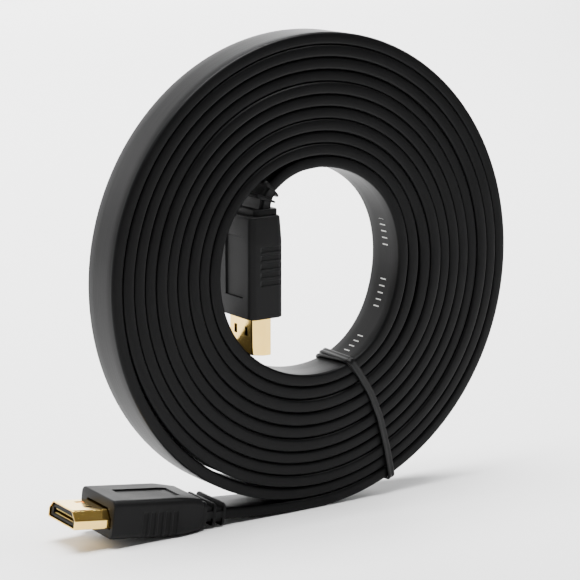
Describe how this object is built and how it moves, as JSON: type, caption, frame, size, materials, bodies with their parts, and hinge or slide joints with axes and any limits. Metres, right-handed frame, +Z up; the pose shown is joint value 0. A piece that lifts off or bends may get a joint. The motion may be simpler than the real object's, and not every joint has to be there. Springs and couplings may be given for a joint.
{
  "type": "flat audio and video cable",
  "caption": "Flat black ribbon cable wound face to face into an upright coil, with a wide flat plug at each end and a flat tie round the turns.",
  "frame": {"origin": "middle of the bottom of the whole part's box, on the floor it stands on", "axes": "+Z up; X lies in the plane of the coil, with the front plug at -X; +Y runs through the coil from its front face to its back face"},
  "size_m": [0.13, 0.0192, 0.1214],
  "materials": {
    "jacket": "satin black PVC with a faint drawn grain",
    "hood": "fine matt black moulded PVC",
    "tie": "smooth black plastic",
    "gold_shell": "bright pale gold plating",
    "insulator": "black moulded plastic",
    "contact": "gold plating"
  },
  "bodies": {
    "root": {"cable_coil": "jacket", "cable_tail": "jacket", "cable_lead": "jacket", "coil_tie": "tie", "front_hood": "hood", "front_shell": "gold_shell", "front_insulator": "insulator", "front_contact_01": "contact", "front_contact_02": "contact", "front_contact_03": "contact", "front_contact_04": "contact", "front_contact_05": "contact", "front_contact_06": "contact", "front_contact_07": "contact", "front_contact_08": "contact", "front_contact_09": "contact", "front_contact_10": "contact", "front_contact_11": "contact", "front_contact_12": "contact", "front_contact_13": "contact", "front_contact_14": "contact", "front_contact_15": "contact", "front_contact_16": "contact", "front_contact_17": "contact", "front_contact_18": "contact", "front_contact_19": "contact", "inner_hood": "hood", "inner_shell": "gold_shell", "inner_insulator": "insulator", "inner_contact_01": "contact", "inner_contact_02": "contact", "inner_contact_03": "contact", "inner_contact_04": "contact", "inner_contact_05": "contact", "inner_contact_06": "contact", "inner_contact_07": "contact", "inner_contact_08": "contact", "inner_contact_09": "contact", "inner_contact_10": "contact", "inner_contact_11": "contact", "inner_contact_12": "contact", "inner_contact_13": "contact", "inner_contact_14": "contact", "inner_contact_15": "contact", "inner_contact_16": "contact", "inner_contact_17": "contact", "inner_contact_18": "contact", "inner_contact_19": "contact"}
  },
  "joints": []
}
